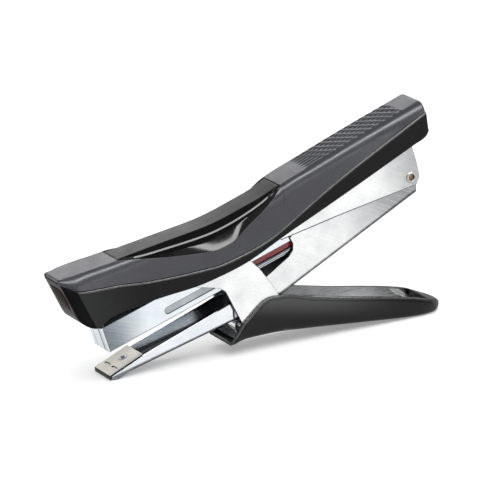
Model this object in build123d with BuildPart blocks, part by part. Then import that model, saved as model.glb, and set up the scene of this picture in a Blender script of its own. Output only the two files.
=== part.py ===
from build123d import *
import os
from math import cos, hypot, radians, sin

# Plier stapler, squeezed in one hand, standing on its anvil tip and on the heel of its lower handle.
# Outlines are drawn on the side plane: x runs from the anvil's tip to the rear, z up from the table.
# The row's origin is under the middle of the whole length, so the side plane is shifted by MIDDLE.
# Four layers lie side by side, from the middle outwards: magazine, frame, steel lever, plastic.

# ---- driving dimensions, mm and degrees ----
HEAD_FRONT = -24.8
HANDLE_REAR = 171.2
MIDDLE = (HEAD_FRONT + HANDLE_REAR) / 2

HINGE = (153.2, 67.2)
LEVER_PIVOT = (38.0, 45.5)
ROLLER = (64.8, 13.0)
ARM_SLOPE = 14.3
MAG_TILT = 17.44

MAG_IN, MAG_OUT = 6.5, 7.1
FRAME_IN, FRAME_OUT = 7.3, 8.1
LEVER_IN, LEVER_OUT = 8.3, 9.2
CASE_IN, CASE_OUT = 10.5, 11.85
SHELL_OUT = 10.4
SHEET = 0.8
WALL = 1.35
RUN = 0.05

HINGE_R, HINGE_BORE = 2.3, 1.4
STUD_R = 1.8
ROLLER_R, ROLLER_PIN_R = 3.25, 1.3
RIVET_R = 1.1

# magazine, along its own axis from the hinge: u to the rear, v up
MAG_FRONT, MAG_BOTTOM, MAG_TOP = -163.9, -5.3, 7.0
MAG_SHEET = 0.6
WALL_END = -91.0
STRIP_FRONT, STRIP_REAR = -161.7, -109.0
CROWN_HALF, CROWN_TOP, WIRE = 6.35, 1.9, 0.5
RAIL_REAR = -95.0
ROD_R, ROD_V = 0.75, -3.4
ROD_FRONT, ROD_REAR = -101.0, -8.0
SPRING_FRONT, SPRING_LENGTH = -90.8, 78.6
SPRING_GAP, SPRING_WIRE = 0.15, 0.4
FOLLOWER_REAR, TAB_REAR, TAB_HALF = -92.0, -54.5, 6.0
DRIVER_U, DRIVER_BOTTOM = -162.5, 4.0

# line between the black casing and the grey cover, and the cover's crest above the same stations
SEAM = [(HEAD_FRONT, 48.7), (-20.9, 46.6), (-17.5, 45.5), (-11.6, 45.0), (0.0, 45.0), (17.3, 43.9),
        (27.5, 43.8), (50.0, 44.6), (64.2, 47.6), (78.3, 52.6), (88.5, 58.4), (105.0, 68.6),
        (120.7, 77.4), (143.0, 88.9), (159.9, 97.6)]
CREST = [50.0, 51.1, 51.7, 52.7, 54.2, 57.0, 58.6, 62.2, 66.3, 71.0, 75.8, 82.0, 87.9, 95.9, 102.0]
SEAM_HALF = [9.2, CASE_OUT, CASE_OUT, CASE_OUT, CASE_OUT, CASE_OUT, CASE_OUT, CASE_OUT, CASE_OUT,
             CASE_OUT, CASE_OUT, CASE_OUT, 11.8, 11.6, 11.3]
CREST_HALF = [8.9, 8.9, 8.8, 8.6, 8.3, 8.0, 8.0, 8.0, 8.1, 8.2, 8.3, 8.4, 8.4, 8.4, 8.3]

# inlay stations: x, crest, edge, foot of the edge, rim of the scoop beside it
INLAY = [(4.0, 54.8, 54.6, 54.4, 54.7), (12.0, 56.1, 54.5, 53.4, 54.3), (30.8, 59.1, 56.0, 53.8, 52.5),
         (49.3, 62.1, 58.4, 55.6, 51.6), (59.0, 64.6, 60.9, 58.4, 53.8), (67.0, 67.2, 63.8, 62.0, 59.6),
         (77.0, 70.6, 68.4, 67.4, 66.6), (86.0, 74.6, 74.3, 74.2, 74.4)]
LEDGE = 0.4
INLAY_EDGE, INLAY_FOOT, INLAY_CREST = 7.0, 7.3, 5.6

HANDLE_FLOOR = [(161.0, 0.0), (125.3, 2.7), (100.0, 5.1), (78.7, 6.6), (66.6, 6.3), (60.0, 5.2), (57.6, 5.4)]
HANDLE_TOP = [(83.9, 24.3), (101.4, 20.2), (118.9, 16.5), (136.5, 13.3), (156.1, 9.2), (165.5, 6.2)]

ANVIL_RISE = 23.06
FRAME_RIVETS, RIVET_Z = (69.0, 76.0), 24.2
LEAF_SHEET = 0.5
CORE_LINE = [(-8.2, 37.5), (60.0, 51.4), (150.0, 87.4)]
CORE_SHEET = 1.0
POST_R, SCREW_R, SCREW_HEAD_R, SCREW_BITE = 2.6, 1.0, 2.0, 5.0
SCREW_X = [0.9, 98.0, 138.0]
SCREW_STACK = [CORE_SHEET, CORE_SHEET + SHEET, CORE_SHEET + SHEET]
POST_REACH = [13.2, 9.6, 8.6]
SHELL_FLOOR = 1.2
FLOOR_TOP = [(x, z + SHELL_FLOOR) for x, z in HANDLE_FLOOR[:5]] + [(61.0, 6.9)]
HEEL_START = 158.0
HANDLE_RIVETS, HANDLE_RIVET_R = [(100.0, 5.1), (142.0, 1.4)], 1.4

SIDE = Plane(origin=(-MIDDLE, 0, 0), x_dir=(1, 0, 0), z_dir=(0, -1, 0))
PLAN = Plane(origin=(-MIDDLE, 0, 0))
AXIS = (cos(radians(MAG_TILT)), 0, sin(radians(MAG_TILT)))
MAG = Plane(origin=(HINGE[0] - MIDDLE, 0, HINGE[1]), x_dir=AXIS, z_dir=(0, -1, 0))

ANVIL_HEAD_R = 1.9
ANVIL_FACE = Plane(origin=(8.4 - MIDDLE, 0, 6.76), x_dir=(cos(radians(ANVIL_RISE)), 0, sin(radians(ANVIL_RISE))),
                   z_dir=(-sin(radians(ANVIL_RISE)), 0, cos(radians(ANVIL_RISE))))
LEAF_SEAT = Plane(origin=(78.6 - MIDDLE, 0, 21.36), x_dir=(0, 1, 0),
                  z_dir=(-sin(radians(ARM_SLOPE)), 0, cos(radians(ARM_SLOPE))))


def mag_point(u, v):
    """Side-plane coordinates of a point given along and across the magazine."""
    return (HINGE[0] + u * AXIS[0] - v * AXIS[2], HINGE[1] + u * AXIS[2] + v * AXIS[0])


def arm_bottom(x):
    """Height of the anvil arm's underside, which the roller runs along."""
    return x * sin(radians(ARM_SLOPE)) / cos(radians(ARM_SLOPE))


def outline(points, plane=SIDE, radius=0.0):
    """Closed face through the points, with its corners rounded where a radius is given."""
    with BuildSketch(plane) as sketch:
        with BuildLine():
            if radius:
                FilletPolyline(*points, radius=radius, close=True)
            else:
                Polyline(*points, close=True)
        make_face()
    return sketch.sketch


def disc(centre, radius, plane=SIDE):
    with BuildSketch(plane) as sketch:
        with Locations(centre):
            Circle(radius)
    return sketch.sketch


def strip(path, thickness):
    """Points round a bent sheet of even thickness whose middle line is the path."""
    left, right = [], []
    for i, (x, z) in enumerate(path):
        before, after = path[max(i - 1, 0)], path[min(i + 1, len(path) - 1)]
        run_in = (x - before[0], z - before[1])
        run_out = (after[0] - x, after[1] - z)
        normals = [(-dz / hypot(dx, dz), dx / hypot(dx, dz)) for dx, dz in (run_in, run_out) if dx or dz]
        nx = sum(n[0] for n in normals)
        nz = sum(n[1] for n in normals)
        reach = thickness * len(normals) / (nx * nx + nz * nz) / 2
        left.append((x + nx * reach, z + nz * reach))
        right.append((x - nx * reach, z - nz * reach))
    return left + right[::-1]


def slab(face, half, mode=Mode.ADD):
    """Extrude a side face across the whole thickness, -half to +half."""
    return extrude(face, amount=half, both=True, mode=mode)


def cheeks(face, inner, outer, mode=Mode.ADD):
    """Extrude a side face into two mirrored plates between two distances from the middle."""
    for way in (1, -1):
        extrude(face.moved(Location((0, way * inner, 0))), amount=-way * (outer - inner), mode=mode)


def cross_plane(x):
    """Plane square to the length, with +Y across and z up."""
    return Plane(origin=(x - MIDDLE, 0, 0), x_dir=(0, 1, 0), z_dir=(1, 0, 0))


def mirrored(half_section):
    """Closed section from the points of its +Y half, bottom to top."""
    return half_section + [(-y, z) for y, z in reversed(half_section)]


def skin(stations):
    """Ruled body through closed cross sections: (x, half section) pairs."""
    loft([outline(mirrored(half), cross_plane(x)) for x, half in stations], ruled=True)


def cover_section(i):
    """Half section of the cover at a seam station: seam, shoulder and crest points."""
    seam, crest, wide, top = SEAM[i][1], CREST[i], SEAM_HALF[i], CREST_HALF[i]
    rise = crest - seam
    shoulder = top + 0.55 * (wide - top) * min(1, rise / 8)
    return [(wide, seam), (shoulder, crest - min(0.28 * rise, 2.2)), (top, crest)]


def between(low, high, share):
    return tuple(a + (b - a) * share for a, b in zip(low, high))


def cover_half(x, z):
    """Half-width of the cover's outside at a place along it and a height."""
    i = max(k for k in range(len(SEAM) - 1) if SEAM[k][0] <= x)
    share = (x - SEAM[i][0]) / (SEAM[i + 1][0] - SEAM[i][0])
    points = [between(a, b, share) for a, b in zip(cover_section(i), cover_section(i + 1))]
    low, high = points[:2] if z < points[1][1] else points[1:]
    return between(low, high, (z - low[1]) / (high[1] - low[1]))[0]


def cover_stations(inset=0.0, first=0):
    """Cross sections of the cover; an inset gives the hollow inside, open below."""
    stations = []
    for i in range(first, len(SEAM)):
        half = [(y - inset, z - inset) for y, z in cover_section(i)]
        stations.append((SEAM[i][0], half))
    return stations


def inlay_half(station):
    """Half section of the inlay, a sheet bent from the scoop's rim up to the crest."""
    x, crest, edge, foot, rim = station
    wide = cover_half(x, rim) - LEDGE
    upper = [(wide, rim), (INLAY_FOOT, foot), (INLAY_EDGE, edge), (INLAY_CREST, crest)]
    return [(y - 0.3, z - WALL) for y, z in reversed(upper)] + upper


def pocket_half(station):
    """Half section of the cut that leaves the cover a narrow ledge outside the inlay's rim."""
    rim = station[-1]
    wide = cover_half(station[0], rim) - LEDGE
    return [(wide, rim - WALL - 0.1), (wide, rim - 0.05), (14.0, rim), (14.0, 90.0)]


def screw_seat(x, stack):
    """Plane square to the core, on top of the stack of sheet that a cover screw goes through."""
    (x0, z0), (x1, z1) = CORE_LINE[:2] if x < CORE_LINE[1][0] else CORE_LINE[1:]
    slope = (z1 - z0) / (x1 - x0)
    run = hypot(1, slope)
    lift = stack - CORE_SHEET / 2
    origin = (x - MIDDLE - lift * slope / run, 0, z0 + slope * (x - x0) + lift / run)
    return Plane(origin=origin, x_dir=(0, 1, 0), z_dir=(-slope, 0, 1))


os.makedirs("parts", exist_ok=True)
SCREW_SEATS = [screw_seat(x, stack) for x, stack in zip(SCREW_X, SCREW_STACK)]


# ======== frame: anvil arm, side plates and hinge ========
with BuildPart() as anvil_arm:
    tip = [(-0.9, 0.5), (0.0, 0.0), (2.2, 0.0)]
    floor_line = [(x, arm_bottom(x)) for x in (5.0, 85.0)]
    slab(outline(tip + floor_line + [(85.0, 26.8), (58.6, 23.7), (14.6, 8.4), (-0.9, 1.8)]), FRAME_IN)
    inside = [(x, arm_bottom(x) + SHEET) for x in (4.0, 85.5)]
    slab(outline(inside + [(85.5, 40), (4.0, 40)]), FRAME_IN - SHEET, Mode.SUBTRACT)
    bends = anvil_arm.edges().filter_by(GeomType.LINE).filter_by(lambda e: e.length > 70)
    fillet(bends.group_by(Axis.Z)[0], radius=1.3)
    for x in FRAME_RIVETS:
        slab(disc((x, RIVET_Z), RIVET_R), FRAME_OUT, Mode.SUBTRACT)
    with Locations(ANVIL_FACE, LEAF_SEAT):
        Cylinder(RIVET_R, 16, mode=Mode.SUBTRACT)

with BuildPart() as anvil_plate:
    face_line = [(-1.9, 0.4), (-1.9, 2.4), (-0.9, 2.8), (14.6, 9.4), (14.6, 8.4), (-0.9, 1.8), (-0.9, 0.4)]
    slab(outline(face_line), FRAME_IN)
    for y in (-3.3, 3.3):
        with BuildSketch(ANVIL_FACE.offset(-0.4)):
            with Locations((-6.4, y)):
                SlotOverall(4.6, 1.1, rotation=90)
        extrude(amount=2, mode=Mode.SUBTRACT)
    with Locations(ANVIL_FACE):
        Cylinder(RIVET_R, 16, mode=Mode.SUBTRACT)
        Cylinder(ANVIL_HEAD_R + 0.05, 0.9, mode=Mode.SUBTRACT)

# The rivet's head lies sunk in the plate, so that paper slides over it.
with BuildPart() as anvil_rivet:
    with Locations(ANVIL_FACE):
        Cylinder(RIVET_R, 3.6, align=(Align.CENTER, Align.CENTER, Align.MAX))
        Cylinder(ANVIL_HEAD_R, 0.45, align=(Align.CENTER, Align.CENTER, Align.MAX))
        Cylinder(0.9, 0.5, mode=Mode.SUBTRACT)

with BuildPart() as frame_channel:
    lower = [(60.8, 16.8), (77.8, 20.6), (84.9, 23.7), (155.5, 59.1), (156.3, 59.8)]
    rear = [(156.7, 66.5), (154.0, 71.6), (147.5, 71.8)]
    notch = [(94.0, 53.4), (90.0, 49.7), (91.5, 46.6), (91.4, 43.6), (89.1, 40.9), (77.0, 33.4), (60.6, 24.6)]
    plate = outline(lower + rear + notch)
    cheeks(plate, FRAME_IN, FRAME_OUT)
    slab(outline(strip([(86.4, 24.9), (148.0, 55.8)], SHEET)), FRAME_OUT)
    cheeks(disc(HINGE, HINGE_R), FRAME_IN - 1, FRAME_OUT + 1, Mode.SUBTRACT)
    for x in FRAME_RIVETS:
        slab(disc((x, RIVET_Z), RIVET_R), FRAME_OUT + 1, Mode.SUBTRACT)

with BuildPart() as frame_rivets:
    for x in FRAME_RIVETS:
        cheeks(disc((x, RIVET_Z), RIVET_R), FRAME_IN - SHEET, FRAME_OUT)
        cheeks(disc((x, RIVET_Z), 1.7), FRAME_IN - SHEET - 0.6, FRAME_IN - SHEET)

with BuildPart() as hinge_rivet:
    cheeks(disc(HINGE, HINGE_R), 0, 9.35)
    cheeks(disc(HINGE, HINGE_R + 0.45), 9.35, 9.75)
    slab(disc(HINGE, HINGE_BORE), 10, Mode.SUBTRACT)

with BuildPart() as hinge_bush:
    slab(disc(HINGE, HINGE_R + 1.3), MAG_IN - 0.3)
    slab(disc(HINGE, HINGE_R), MAG_OUT, Mode.SUBTRACT)

with BuildPart() as jaw_spring:
    foot = [(x, arm_bottom(x) + SHEET + LEAF_SHEET * 0.52) for x in (83.0, 74.0)]
    slab(outline(strip(foot + [(69.5, 22.5), (65.6, 30.0), (62.5, 32.4)], LEAF_SHEET)), 3.6)
    with Locations(LEAF_SEAT):
        Cylinder(RIVET_R, 6, mode=Mode.SUBTRACT)

with BuildPart() as jaw_spring_rivet:
    with Locations(LEAF_SEAT):
        Cylinder(RIVET_R, 1.3, align=(Align.CENTER, Align.CENTER, Align.MAX))
        Cylinder(1.8, 0.6, align=(Align.CENTER, Align.CENTER, Align.MIN))

# ======== magazine and its staple feed ========
with BuildPart() as magazine_channel:
    front = MAG_FRONT + MAG_SHEET
    lug = [(-12.0, 0.2), (-5.5, -4.2), (3.0, -4.2), (5.0, 0.0), (3.0, 4.6), (-14.0, MAG_TOP)]
    wall = [(front, MAG_BOTTOM), (WALL_END, MAG_BOTTOM), (WALL_END + 4.5, 0.2)] + lug + [(front, MAG_TOP)]
    cheeks(outline(wall, MAG), MAG_IN, MAG_OUT)
    web = [(STRIP_FRONT, MAG_BOTTOM), (WALL_END, MAG_BOTTOM), (WALL_END, MAG_BOTTOM + MAG_SHEET),
           (STRIP_FRONT, MAG_BOTTOM + MAG_SHEET)]
    slab(outline(web, MAG), MAG_OUT)
    with BuildSketch(MAG) as window:
        with Locations((-119.5, -0.8)):
            SlotOverall(27.0, 3.2)
    cheeks(window.sketch, MAG_OUT - 0.35, MAG_OUT + 1, Mode.SUBTRACT)
    slab(disc((0, 0), HINGE_R + RUN, MAG), MAG_OUT + 1, Mode.SUBTRACT)

with BuildPart() as magazine_front_plate:
    plate = [(MAG_FRONT, MAG_BOTTOM), (front, MAG_BOTTOM), (front, MAG_TOP), (front + 2.0, MAG_TOP + 0.1),
             (front + 2.0, MAG_TOP + MAG_SHEET), (MAG_FRONT, MAG_TOP + MAG_SHEET)]
    slab(outline(plate, MAG), MAG_OUT)
    with BuildSketch(MAG) as mouth:
        with Locations((front + 1.4, MAG_TOP + 0.3)):
            Rectangle(2.8, 2.0)
    slab(mouth.sketch, 6.2, Mode.SUBTRACT)

with BuildPart() as staple_rail:
    floor_v = MAG_BOTTOM + MAG_SHEET
    top_v = CROWN_TOP - WIRE - 0.05
    rail = [(STRIP_FRONT, floor_v), (RAIL_REAR, floor_v), (RAIL_REAR, top_v), (STRIP_FRONT, top_v)]
    slab(outline(rail, MAG), CROWN_HALF - WIRE - 0.05)
    hollow = [(STRIP_FRONT - 1, floor_v - 1), (RAIL_REAR + 1, floor_v - 1), (RAIL_REAR + 1, top_v - MAG_SHEET),
              (STRIP_FRONT - 1, top_v - MAG_SHEET)]
    slab(outline(hollow, MAG), CROWN_HALF - WIRE - 0.05 - MAG_SHEET, Mode.SUBTRACT)

with BuildPart() as staple_strip:
    legs_v = floor_v + 0.1
    staples = [(STRIP_FRONT, legs_v), (STRIP_REAR, legs_v), (STRIP_REAR, CROWN_TOP), (STRIP_FRONT, CROWN_TOP)]
    slab(outline(staples, MAG), CROWN_HALF)
    gap = [(STRIP_FRONT - 1, legs_v - 1), (STRIP_REAR + 1, legs_v - 1), (STRIP_REAR + 1, CROWN_TOP - WIRE),
           (STRIP_FRONT - 1, CROWN_TOP - WIRE)]
    slab(outline(gap, MAG), CROWN_HALF - WIRE, Mode.SUBTRACT)

with BuildPart() as guide_rod:
    with BuildSketch(Plane(origin=MAG.from_local_coords(Vector(ROD_FRONT, ROD_V, 0)), z_dir=AXIS)):
        Circle(ROD_R)
    extrude(amount=ROD_REAR - ROD_FRONT)

with BuildPart() as guide_rod_anchor:
    block = [(-12.0, -4.6), (-7.2, -4.6), (-6.0, 3.6), (-12.0, 3.6)]
    slab(outline(block, MAG), MAG_IN)
    slab(disc((0, 0), HINGE_R + 1.6, MAG), MAG_OUT, Mode.SUBTRACT)
    add(guide_rod.part, mode=Mode.SUBTRACT)

with BuildPart() as follower_spring:
    turns = Plane(origin=MAG.from_local_coords(Vector(SPRING_FRONT, ROD_V, 0)), z_dir=AXIS)
    with BuildSketch(turns):
        Circle(ROD_R + SPRING_GAP + SPRING_WIRE)
        Circle(ROD_R + SPRING_GAP, mode=Mode.SUBTRACT)
    extrude(amount=SPRING_LENGTH)

# ======== follower: pusher and red grip, pulled back to load ========
with BuildPart() as staple_pusher:
    body = [(STRIP_REAR, floor_v + 0.1), (FOLLOWER_REAR, floor_v + 0.1), (FOLLOWER_REAR, 2.2),
            (FOLLOWER_REAR - 5, 4.6), (STRIP_REAR, 4.6)]
    slab(outline(body, MAG), CROWN_HALF - 0.05)
    tunnel = [(STRIP_REAR - 1, floor_v - 1), (RAIL_REAR + 0.3, floor_v - 1), (RAIL_REAR + 0.3, top_v + 0.15),
              (STRIP_REAR - 1, top_v + 0.15)]
    slab(outline(tunnel, MAG), CROWN_HALF - WIRE + 0.1, Mode.SUBTRACT)
    with BuildSketch(Plane(origin=MAG.from_local_coords(Vector(-100, ROD_V, 0)), z_dir=AXIS)):
        Circle(ROD_R + RUN)
    extrude(amount=20, mode=Mode.SUBTRACT)

with BuildPart() as follower_grip:
    tab = [(FOLLOWER_REAR, -1.9), (TAB_REAR - 1.5, -1.9), (TAB_REAR, -0.9), (TAB_REAR, 0.1), (FOLLOWER_REAR, 0.1)]
    slab(outline(tab, MAG), TAB_HALF)
    fillet(follower_grip.edges().filter_by(Axis.Y).group_by(Axis.X)[-1], radius=0.4)
    side = [(FOLLOWER_REAR, -2.9), (TAB_REAR - 3.5, -2.9), (TAB_REAR - 2.0, -1.9), (FOLLOWER_REAR, -1.9)]
    cheeks(outline(side, MAG), TAB_HALF - 1, TAB_HALF)

# ======== upper lever: core, bracket, driver, covers ========
with BuildPart() as lever_core:
    slab(outline(strip(CORE_LINE, CORE_SHEET)), FRAME_OUT)
    hanger = [(26.0, 44.6), (31.5, 40.4), (44.5, 40.4), (53.0, 50.0)]
    cheeks(outline(hanger), FRAME_IN, FRAME_OUT)
    slab(disc(LEVER_PIVOT, STUD_R), FRAME_OUT + 1, Mode.SUBTRACT)
    with Locations(*SCREW_SEATS):
        Cylinder(SCREW_R, 6, mode=Mode.SUBTRACT)

with BuildPart() as rear_bracket:
    top_line = [(80.0, 60.4), (150.0, 88.4)]
    under_edge = [(85.2, 49.6), (90.0, 50.6), (115.8, 55.8), (135.9, 59.6), (153.8, 62.9), (156.0, 63.7)]
    hinge_end = [(157.3, 66.0), (157.5, 68.0), (156.0, 74.4), (153.6, 82.0), (150.0, 88.4)]
    cheeks(outline(under_edge + hinge_end + [top_line[0], (79.5, 56.0)]), LEVER_IN, LEVER_OUT)
    slab(outline(strip([(81.5, 60.98), (148.5, 87.78)], SHEET)), LEVER_OUT)
    slab(disc(HINGE, HINGE_R + RUN), LEVER_OUT + 1, Mode.SUBTRACT)
    with Locations(*SCREW_SEATS[1:]):
        Cylinder(SCREW_R, 6, mode=Mode.SUBTRACT)

with BuildPart() as driver_blade:
    edge_low = mag_point(DRIVER_U, DRIVER_BOTTOM)
    edge_high = (-7.0, 36.9)
    tab_end = (-1.6, 38.0)
    slab(outline(strip([edge_low, edge_high, tab_end], 0.6)), 6.1)

with BuildPart() as lever_pivots:
    cheeks(disc(LEVER_PIVOT, STUD_R), FRAME_IN, LEVER_OUT + 0.1)
    cheeks(disc(LEVER_PIVOT, STUD_R + 0.6), LEVER_OUT + 0.1, LEVER_OUT + 0.5)

with BuildPart() as lever_spring:
    leaf = [(8.0, 40.0), (24.0, 43.25), (38.0, 44.6), (50.0, 42.4), (53.0, 43.6)]
    slab(outline(strip(leaf, 0.4)), 6.9)

with BuildPart() as casing_shell:
    under = [(161.2, 87.4), (158.6, 85.2), (151.7, 82.2), (127.5, 71.1), (92.4, 55.5), (84.0, 51.7),
             (67.7, 44.1), (54.8, 40.1), (40.5, 37.0), (21.3, 35.0), (0.0, 31.6), (-5.0, 29.0)]
    head = [(-8.5, 27.2), (-12.0, 27.3), (-15.4, 29.8), (-18.0, 34.4)]
    slab(outline(SEAM + under + head), CASE_OUT)
    fall = Vector(-18.0 - HEAD_FRONT, 0, 34.4 - 48.7)
    corner = Plane(origin=(HEAD_FRONT - MIDDLE, 0, 48.7), x_dir=(0, 1, 0), z_dir=fall)
    for way in (1, -1):
        cut = outline([(way * 7.6, 1.0), (way * 7.6, 0.0), (way * 12.5, -5.2), (way * 14, 1.0)], corner)
        extrude(cut, amount=60, both=True, mode=Mode.SUBTRACT)
    cavity = [(-21.6, 60), (-18.6, 47), (-13.9, 36.0), (-11.6, 31.0), (-10.2, 28.5), (-10.2, 20), (170, 20),
              (159.8, 86.0), (158.6, 110)]
    slab(outline(cavity), CASE_IN, Mode.SUBTRACT)

with BuildPart() as head_insert:
    slab(outline(strip([(-23.9, 45.2), (-18.9, 34.9)], 0.8)), 6.2)

with BuildPart() as lower_casing:
    add(casing_shell.part)
    add(head_insert.part, mode=Mode.SUBTRACT)

with BuildPart() as inlay_panel:
    skin([(station[0], inlay_half(station)) for station in INLAY])

with BuildPart() as inlay_pocket:
    skin([(station[0], pocket_half(station)) for station in INLAY])

with BuildPart() as cover_void:
    skin(cover_stations(inset=WALL, first=1))
    with BuildSketch(cross_plane(SEAM[-1][0])):
        with Locations((0, 98)):
            Rectangle(30, 20)
    extrude(amount=-WALL, mode=Mode.SUBTRACT)

with BuildPart() as screw_posts:
    for plane, reach in zip(SCREW_SEATS, POST_REACH):
        with BuildSketch(plane):
            Circle(POST_R)
        extrude(amount=reach)

with BuildPart() as top_cover:
    skin(cover_stations())
    add(cover_void.part, mode=Mode.SUBTRACT)
    add(inlay_pocket.part, mode=Mode.SUBTRACT)
    add(screw_posts.part)
    with Locations(*SCREW_SEATS):
        Cylinder(SCREW_R, 2 * SCREW_BITE, mode=Mode.SUBTRACT)

with BuildPart() as cover_screws:
    for plane, stack in zip(SCREW_SEATS, SCREW_STACK):
        with Locations(plane):
            Cylinder(SCREW_R, SCREW_BITE, align=(Align.CENTER, Align.CENTER, Align.MIN))
            Cylinder(SCREW_R, stack, align=(Align.CENTER, Align.CENTER, Align.MAX))
        with Locations(plane.offset(-stack)):
            Cylinder(SCREW_HEAD_R, 1.0, align=(Align.CENTER, Align.CENTER, Align.MAX))

# ======== lower handle ========
with BuildPart() as handle_plan:
    with BuildSketch(PLAN.offset(-1)):
        with Locations((HEEL_START / 2 + 25, 0)):
            Rectangle(HEEL_START - 50, 2 * SHELL_OUT)
        with Locations((HEEL_START, 0)):
            Ellipse(HANDLE_REAR - HEEL_START, SHELL_OUT)
    extrude(amount=40)

with BuildPart() as handle_rivets:
    for x, z in HANDLE_RIVETS:
        with Locations(Plane(origin=(x - MIDDLE, 0, z))):
            Cylinder(HANDLE_RIVET_R, SHELL_FLOOR + SHEET, align=(Align.CENTER, Align.CENTER, Align.MIN))

with BuildPart() as handle_shell:
    front_edge = [(63.8, 14.2), (67.8, 17.0), (72.6, 21.0), (75.5, 23.1), (78.8, 24.3)]
    tip_end = [(HANDLE_REAR, 3.2), (HANDLE_REAR - 1.6, 1.0), (165.7, 0.0)]
    slab(outline(HANDLE_FLOOR + front_edge + HANDLE_TOP + tip_end), SHELL_OUT)
    add(handle_plan.part, mode=Mode.INTERSECT)
    trough = FLOOR_TOP + [(55.0, 5.5), (55.0, 40.0), (161.3, 40.0), (161.3, SHELL_FLOOR)]
    slab(outline(trough), LEVER_OUT, Mode.SUBTRACT)
    add(handle_rivets.part, mode=Mode.SUBTRACT)

with BuildPart() as handle_channel:
    ear_front = [(60.6, 9.0), (62.4, 12.4), (64.2, 14.4), (58.1, 26.9), (56.1, 30.9), (53.7, 32.7),
                 (50.2, 33.9), (42.0, 35.6)]
    boss = [(34.4, 41.6), (33.4, 45.5), (35.0, 49.4), (40.6, 49.9)]
    ear_rear = [(55.0, 44.6), (62.0, 45.0), (69.3, 43.0), (74.2, 37.7), (79.4, 30.5), (83.0, 24.5)]
    wall_top = [(101.4, 20.5), (118.9, 16.8), (136.5, 13.5), (155.5, 9.5), (159.4, 7.6), (161.0, 5.0)]
    cheeks(outline(FLOOR_TOP + ear_front + boss + ear_rear + wall_top), LEVER_IN, LEVER_OUT)
    web_top = [(x, z + SHEET) for x, z in reversed(FLOOR_TOP)]
    slab(outline(FLOOR_TOP + web_top), LEVER_OUT)
    cheeks(disc(LEVER_PIVOT, STUD_R + RUN), LEVER_IN - 1, LEVER_OUT + 1, Mode.SUBTRACT)
    slab(disc(ROLLER, ROLLER_PIN_R), LEVER_OUT + 1, Mode.SUBTRACT)
    add(handle_rivets.part, mode=Mode.SUBTRACT)

with BuildPart() as pressure_roller:
    slab(disc(ROLLER, ROLLER_R), 6.9)
    slab(disc(ROLLER, ROLLER_PIN_R + RUN), 8, Mode.SUBTRACT)

with BuildPart() as roller_pin:
    slab(disc(ROLLER, ROLLER_PIN_R), LEVER_OUT)

FRAME_PARTS = {"anvil_arm": anvil_arm, "anvil_plate": anvil_plate, "anvil_rivet": anvil_rivet,
               "frame_channel": frame_channel, "frame_rivets": frame_rivets, "hinge_rivet": hinge_rivet,
               "hinge_bush": hinge_bush, "jaw_spring": jaw_spring, "jaw_spring_rivet": jaw_spring_rivet}
MAGAZINE_PARTS = {"magazine_channel": magazine_channel, "magazine_front_plate": magazine_front_plate,
                  "staple_rail": staple_rail, "staple_strip": staple_strip, "guide_rod": guide_rod,
                  "guide_rod_anchor": guide_rod_anchor, "follower_spring": follower_spring,
                  "staple_pusher": staple_pusher, "follower_grip": follower_grip}
LEVER_PARTS = {"lever_core": lever_core, "rear_bracket": rear_bracket, "driver_blade": driver_blade,
               "lever_pivots": lever_pivots, "lever_spring": lever_spring, "lower_casing": lower_casing,
               "head_insert": head_insert, "inlay_panel": inlay_panel, "top_cover": top_cover,
               "cover_screws": cover_screws}
HANDLE_PARTS = {"handle_shell": handle_shell, "handle_channel": handle_channel,
                "pressure_roller": pressure_roller, "roller_pin": roller_pin, "handle_rivets": handle_rivets}

for group in (FRAME_PARTS, MAGAZINE_PARTS, LEVER_PARTS, HANDLE_PARTS):
    for label, builder in group.items():
        builder.part.label = label
        export_step(builder.part, f"parts/{label}.step")
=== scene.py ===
import math
from bisect import bisect_right

import bmesh
import bpy
from mathutils import Matrix, Vector


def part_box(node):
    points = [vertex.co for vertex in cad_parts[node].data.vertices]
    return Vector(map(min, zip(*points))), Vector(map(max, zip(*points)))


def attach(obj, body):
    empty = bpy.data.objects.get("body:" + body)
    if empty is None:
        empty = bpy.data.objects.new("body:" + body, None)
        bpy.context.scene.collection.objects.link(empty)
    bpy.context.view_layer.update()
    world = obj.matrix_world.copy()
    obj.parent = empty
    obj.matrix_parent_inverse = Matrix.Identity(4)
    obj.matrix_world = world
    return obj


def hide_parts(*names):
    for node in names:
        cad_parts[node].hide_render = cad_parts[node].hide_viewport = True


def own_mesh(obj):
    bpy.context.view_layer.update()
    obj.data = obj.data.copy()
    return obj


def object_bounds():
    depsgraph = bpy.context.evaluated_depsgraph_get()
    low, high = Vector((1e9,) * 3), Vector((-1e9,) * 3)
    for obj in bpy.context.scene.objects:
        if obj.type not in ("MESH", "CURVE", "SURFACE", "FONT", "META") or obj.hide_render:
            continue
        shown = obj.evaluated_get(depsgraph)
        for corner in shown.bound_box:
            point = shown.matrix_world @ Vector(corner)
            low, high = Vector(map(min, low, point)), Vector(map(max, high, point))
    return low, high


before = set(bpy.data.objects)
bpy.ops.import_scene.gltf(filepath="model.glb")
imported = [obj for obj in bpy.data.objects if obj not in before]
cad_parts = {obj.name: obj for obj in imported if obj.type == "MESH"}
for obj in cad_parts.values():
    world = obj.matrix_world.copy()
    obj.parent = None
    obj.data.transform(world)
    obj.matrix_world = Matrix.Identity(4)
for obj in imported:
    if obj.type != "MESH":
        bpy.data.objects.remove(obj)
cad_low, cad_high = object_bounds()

MM = 0.001

# The design's own side-view measure runs from the anvil's tip; the cover's front end fixes it in the frame.
HEAD_FRONT, COVER_REAR = -24.8, 159.9
TIP_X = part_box("top_cover")[0].x / MM - HEAD_FRONT

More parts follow.
